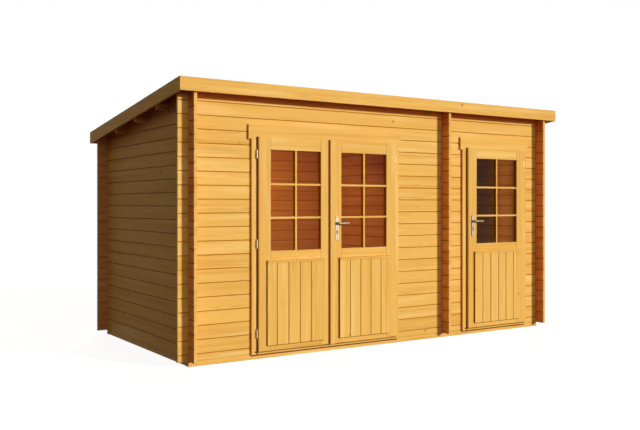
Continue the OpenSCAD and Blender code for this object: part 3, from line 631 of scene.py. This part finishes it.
# Near-black nickel of the key cylinders: its darkness is painted shade
dark_nickel_painted_shade = metal("dark_nickel_painted_shade", (0.055, 0.040, 0.025), (0.10, 0.072, 0.045))
zinc_nail = metal("zinc_nail", (0.26, 0.22, 0.16), (0.36, 0.31, 0.23))
FRONT, BACK, UP, DOWN = (0, -1, 0), (0, 1, 0), (0, 0, 1), (0, 0, -1)


def lathe(bm, at, axis, profile, seg=16):
    """Turned form from (radius, distance along the axis) pairs; a radius of 0 closes it."""
    along = Vector(axis).normalized()
    side = along.orthogonal().normalized()
    other = along.cross(side)
    rings = []
    for r, d in profile:
        turn = [2 * math.pi * i / seg for i in range(seg)] if r else [0.0]
        rings.append([bm.verts.new(Vector(at) + along * d + (side * math.cos(w) + other * math.sin(w)) * r)
                      for w in turn])
    for a, b in zip(rings, rings[1:]):
        for i in range(seg):
            j = (i + 1) % seg
            corners = [a[0]] if len(a) == 1 else [a[i], a[j]]
            corners += [b[0]] if len(b) == 1 else [b[j], b[i]]
            bm.faces.new(corners)


def slab(bm, at, right, up, outline, depth):
    """Plate whose outline of (right, up) pairs stands depth out of the plane through at."""
    right, up = Vector(right), Vector(up)
    out = right.cross(up)
    low = [bm.verts.new(Vector(at) + right * u + up * v) for u, v in outline]
    top = [bm.verts.new(v.co + out * depth) for v in low]
    for i in range(len(low)):
        j = (i + 1) % len(low)
        bm.faces.new((low[i], low[j], top[j], top[i]))
    bm.faces.new(top)
    bm.faces.new(low[::-1])


def arc(up, r, start, end, steps=12):
    """(right, up) pairs of an arc about (0, up), from one angle in degrees to another."""
    turn = [math.radians(start + (end - start) * i / steps) for i in range(steps + 1)]
    return [(r * math.cos(w), up + r * math.sin(w)) for w in turn]


def placed(name, data):
    """New object in the scene."""
    o = bpy.data.objects.new(name, data)
    bpy.context.scene.collection.objects.link(o)
    return o


def bevel(o, width, sharp):
    """Rounds the edges that are sharper than an angle in degrees."""
    m = o.modifiers.new("edges", "BEVEL")
    m.width, m.segments, m.limit_method, m.angle_limit = width, 2, "ANGLE", math.radians(sharp)
    return m


def soften(width, *names):
    """Rounds the sharp edges of CAD nodes a little, as planed wood has them."""
    for n in names:
        nodes[n].modifiers.new("join", "WELD").merge_threshold = 1e-5
        bevel(nodes[n], width, 50).harden_normals = True


def piece(name, bm, material, body, rounding=0.0):
    """Metal piece that rides on a body."""
    bmesh.ops.recalc_face_normals(bm, faces=bm.faces)
    mesh = bpy.data.meshes.new(name)
    bm.to_mesh(mesh)
    bm.free()
    mesh.shade_smooth()
    mesh.set_sharp_from_angle(angle=math.radians(35))
    mesh.materials.append(material)
    o = placed(name, mesh)
    if rounding:
        bevel(o, rounding, 40)
    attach(o, body)


def heads(name, points, axis, body, r, high, seg):
    """Heads of nails or screws at points on a face."""
    profile = [(r * 0.5, -SUNK), (r * 0.96, 0.0), (r, high * 0.35), (r * 0.80, high * 0.85), (0.0, high)]
    bm = bmesh.new()
    for at in points:
        lathe(bm, at, axis, profile, seg)
    piece(name, bm, zinc_nail, body)


def spread(a, b, step, margin):
    """Places from a to b, margin in from either, and about step apart."""
    count = max(1, round((b - a - 2 * margin) / step))
    return [a + margin + (b - a - 2 * margin) * i / count for i in range(count + 1)]


soften(0.0015, "left_leaf", "right_leaf", "single_leaf", "double_door_frame", "single_door_frame",
       "cover_strip", "left_drip_bar", "right_drip_bar", "single_drip_bar", "fascia_front", "fascia_back",
       "fascia_left", "fascia_right", "bearers", "purlins")
soften(0.0012, "right_plates", "single_plates")

# Key cylinders and screws of the handle plates, inside and outside
lever_z = base_z + LEVER_UP
cylinder = arc(0, 0.0088, -52, 232) + arc(-0.0205, 0.0052, 180, 360)
half_plug = arc(0, 0.0066, -84, 84)
for door in ("right", "single"):
    lo, hi = box[door + "_plates"]
    x = (lo.x + hi.x) / 2
    bm = bmesh.new()
    for y, right in ((lo.y, (1, 0, 0)), (hi.y, (-1, 0, 0))):
        out = Vector(right).cross(Vector(UP))
        at = Vector((x, y, lever_z - KEY_DROP)) - out * SUNK
        slab(bm, at, right, UP, cylinder, CYLINDER_T)
        for s in (1, -1):
            slab(bm, at, right, UP, [(s * u, v) for u, v in half_plug], PLUG_T)
    piece(door + "_key_cylinder", bm, dark_nickel_painted_shade, door + "_door", rounding=0.0004)
    for side, y, axis in (("outside", lo.y, FRONT), ("inside", hi.y, BACK)):
        spots = [(x, y, lever_z - PLATE_DROP + s * PLATE_SCREW) for s in (1, -1)]
        heads("%s_plate_screws_%s" % (door, side), spots, axis, door + "_door", r=0.0042, high=0.0012, seg=16)

# Domes over and under the hinge barrels: share of the barrel's radius, and height
dome = ((0.98, -0.0005), (0.98, 0.0008), (0.60, 0.0012), (0.64, 0.0026), (0.50, 0.0046), (0.24, 0.0056),
        (0.0, 0.0059))
dome = [(BARREL_R * share, z) for share, z in dome]
for leaf in ("left", "right", "single"):
    lo, hi = box[leaf + "_hinges"]
    x = lo.x + BARREL_R if leaf == "left" else hi.x - BARREL_R
    y = (lo.y + hi.y) / 2
    tops = [hi.z, (hi.z + lo.z + BARREL_L / 2) / 2, lo.z + BARREL_L / 2]
    for part, body, shift, axis in (("leaf", leaf + "_door", 0.0, UP), ("frame", "house", -BARREL_L, DOWN)):
        bm = bmesh.new()
        for z in tops:
            lathe(bm, (x, y, z + shift), axis, dome)
        piece("%s_hinge_caps_%s" % (leaf, part), bm, yellow_zinc, body)

# Clout nails of the felt, round its edge and along its laps
lo, hi = box["roof_felt"]
strips = math.ceil((hi.x - lo.x) / FELT_STRIP)
laps = [lo.x + (hi.x - lo.x) * k / strips + 0.028 for k in range(1, strips)]
spots = [(x, y) for y in (lo.y + FELT_NAIL, hi.y - FELT_NAIL)
         for x in spread(lo.x, hi.x, FELT_STEP, FELT_NAIL)]
spots += [(x, y) for x in (lo.x + FELT_NAIL, hi.x - FELT_NAIL)
          for y in spread(lo.y, hi.y, FELT_STEP, 0.122)]
spots += [(x, y) for x in laps for y in spread(lo.y, hi.y, FELT_STEP, 0.062)]
heads("felt_nails", [(x, y, hi.z - (y - lo.y) * FALL) for x, y in spots], (0, FALL, 1), "house",
      r=0.0048, high=0.0010, seg=10)

# Nails of the boarding, screws of the drip bars, the cover strip and the head boards
for leaf, first, board in BOARDING:
    lo, hi = box[leaf + "_panel"]
    joints = [lo.x + first + board * i for i in range(10)]
    joints = [lo.x, *[x for x in joints if x < hi.x - 0.03], hi.x]
    spots = [((a + b) / 2, lo.y, z) for a, b in zip(joints, joints[1:]) for z in (lo.z + 0.030, hi.z - 0.055)]
    heads(leaf + "_board_nails", spots, FRONT, leaf + "_door", r=0.0016, high=0.0003, seg=8)
    lo, hi = box[leaf + "_drip_bar"]
    spots = [(x, lo.y, (lo.z + hi.z) / 2 - 0.002) for x in spread(lo.x, hi.x, step=0.22, margin=0.05)]
    heads(leaf + "_bar_screws", spots, FRONT, leaf + "_door", r=0.0026, high=0.0003, seg=12)
lo, hi = box["cover_strip"]
spots = [((lo.x + hi.x) / 2, lo.y, z) for z in spread(lo.z, hi.z, step=0.30, margin=0.07)]
heads("strip_screws", spots, FRONT, "right_door", r=0.0030, high=0.0004, seg=12)
for f in ("double", "single"):
    lo, hi = box[f + "_door_frame"]
    spots = [(x, lo.y, hi.z - HEAD_H * k)
             for x in spread(lo.x, hi.x, step=0.5, margin=0.055) for k in (0.3, 0.7)]
    heads(f + "_head_screws", spots, FRONT, "house", r=0.0030, high=0.0004, seg=12)


# ---------- stage, light and camera ----------

def direct_ray(t):
    """1 for what the camera sees straight, in a mirror or through glass."""
    path = add(t, "LightPath").outputs
    return calc(t, "ADD", calc(t, "ADD", path["Is Camera Ray"], path["Is Glossy Ray"], clamp=True),
                path["Is Transmission Ray"], clamp=True)


def backdrop_strength(t, seen, unseen):
    """seen for a direct ray, unseen for the light it gives."""
    return either(t, direct_ray(t), unseen, seen)


def pale_floor():
    """Nearly white where it is seen, and grey for the light that it throws back."""
    m, t = tree("pale_floor")
    cloud = noise(t, add(t, "TexCoord").outputs["Object"], 3.0, 3.0)
    glow = add(t, "Emission", (1, 1, 1, 1), backdrop_strength(t, 0.925, 0.0))
    grey = blend(t, cloud, (0.19, 0.19, 0.19, 1), (0.21, 0.21, 0.21, 1))
    grey = blend(t, direct_ray(t), (0.05, 0.05, 0.05, 1), grey)
    finish_with(t, add(t, "AddShader", glow.outputs[0], add(t, "BsdfDiffuse", grey).outputs[0]))
    return m


bm = bmesh.new()
bmesh.ops.create_grid(bm, x_segments=4, y_segments=4, size=150.0)
mesh = bpy.data.meshes.new("floor")
bm.to_mesh(mesh)
bm.free()
mesh.materials.append(pale_floor())
floor = placed("floor", mesh)
floor.location.z = cad_lo.z - 0.0005

world = bpy.data.worlds.new("studio")
bpy.context.scene.world = world
world.use_nodes = True
sky = world.node_tree
sky.nodes.clear()
sky_tone = blend(sky, direct_ray(sky), (1.0, 0.79, 0.74, 1), (1, 1, 1, 1))
finish_with(sky, add(sky, "Background", sky_tone, backdrop_strength(sky, 1.0, 0.19)), "OutputWorld")


def sun(name, azimuth, elevation, strength, angle):
    """Azimuth 0 shines from the front, -Y, and 90 from the right."""
    light = bpy.data.lights.new(name, "SUN")
    light.energy = strength
    light.angle = math.radians(angle)
    az, el = math.radians(azimuth), math.radians(elevation)
    back = Vector((math.sin(az) * math.cos(el), -math.cos(az) * math.cos(el), math.sin(el)))
    o = placed(name, light)
    o.rotation_mode = "QUATERNION"
    o.rotation_quaternion = back.to_track_quat("Z", "Y")


def room_lamp(name, at, turn, size, watts, colour, cone=180):
    """Soft warm lamp in a room, not seen itself. Angles in degrees; turn is about X and Y."""
    light = bpy.data.lights.new(name, "AREA")
    light.shape = "RECTANGLE"
    light.size, light.size_y = size
    light.energy, light.color, light.spread = watts, colour, math.radians(cone)
    o = placed(name, light)
    o.location = at
    o.rotation_euler = (math.radians(turn[0]), math.radians(turn[1]), 0)
    o.visible_camera = o.visible_glossy = False


sun("key", azimuth=29.5, elevation=13.6, strength=2.80, angle=4.0)
sun("fill", azimuth=5.0, elevation=8.0, strength=0.70, angle=50.0)
sun("rim", azimuth=155.0, elevation=35.0, strength=1.0, angle=25.0)

# Under the roof of each room, tilted to the back wall
for n, watts in (("main", 9.8), ("store", 0.1)):
    lo, hi = box["floor_" + n]
    room_lamp("lamp_" + n, at=((lo.x + hi.x) / 2, (lo.y + hi.y) / 2, 1.78), turn=(36, 0),
              size=((hi.x - lo.x) * 0.5, (hi.y - lo.y) * 0.25), watts=watts, colour=(1.0, 0.47, 0.11))
# Behind the glass of the store room, shining at its right wall
lo, hi = box["floor_store"]
room_lamp("lamp_store_front", at=(hi.x - 0.38, lo.y + 0.40, 1.15), turn=(0, -90), size=(1.5, 0.1),
          watts=0.48, colour=(1.0, 0.44, 0.11), cone=70)

# The view of the photo
cam = placed("camera", bpy.data.cameras.new("camera"))
cam.location = (-4.699, -7.006, base_z + 1.269)
cam.rotation_euler = (math.radians(90), 0, math.radians(-33.2))
cam.data.lens, cam.data.sensor_width, cam.data.shift_y = 45.28, 36.0, -0.0167
cam.data.clip_end = 400
bpy.context.scene.camera = cam
bpy.context.scene.view_settings.view_transform = "Standard"
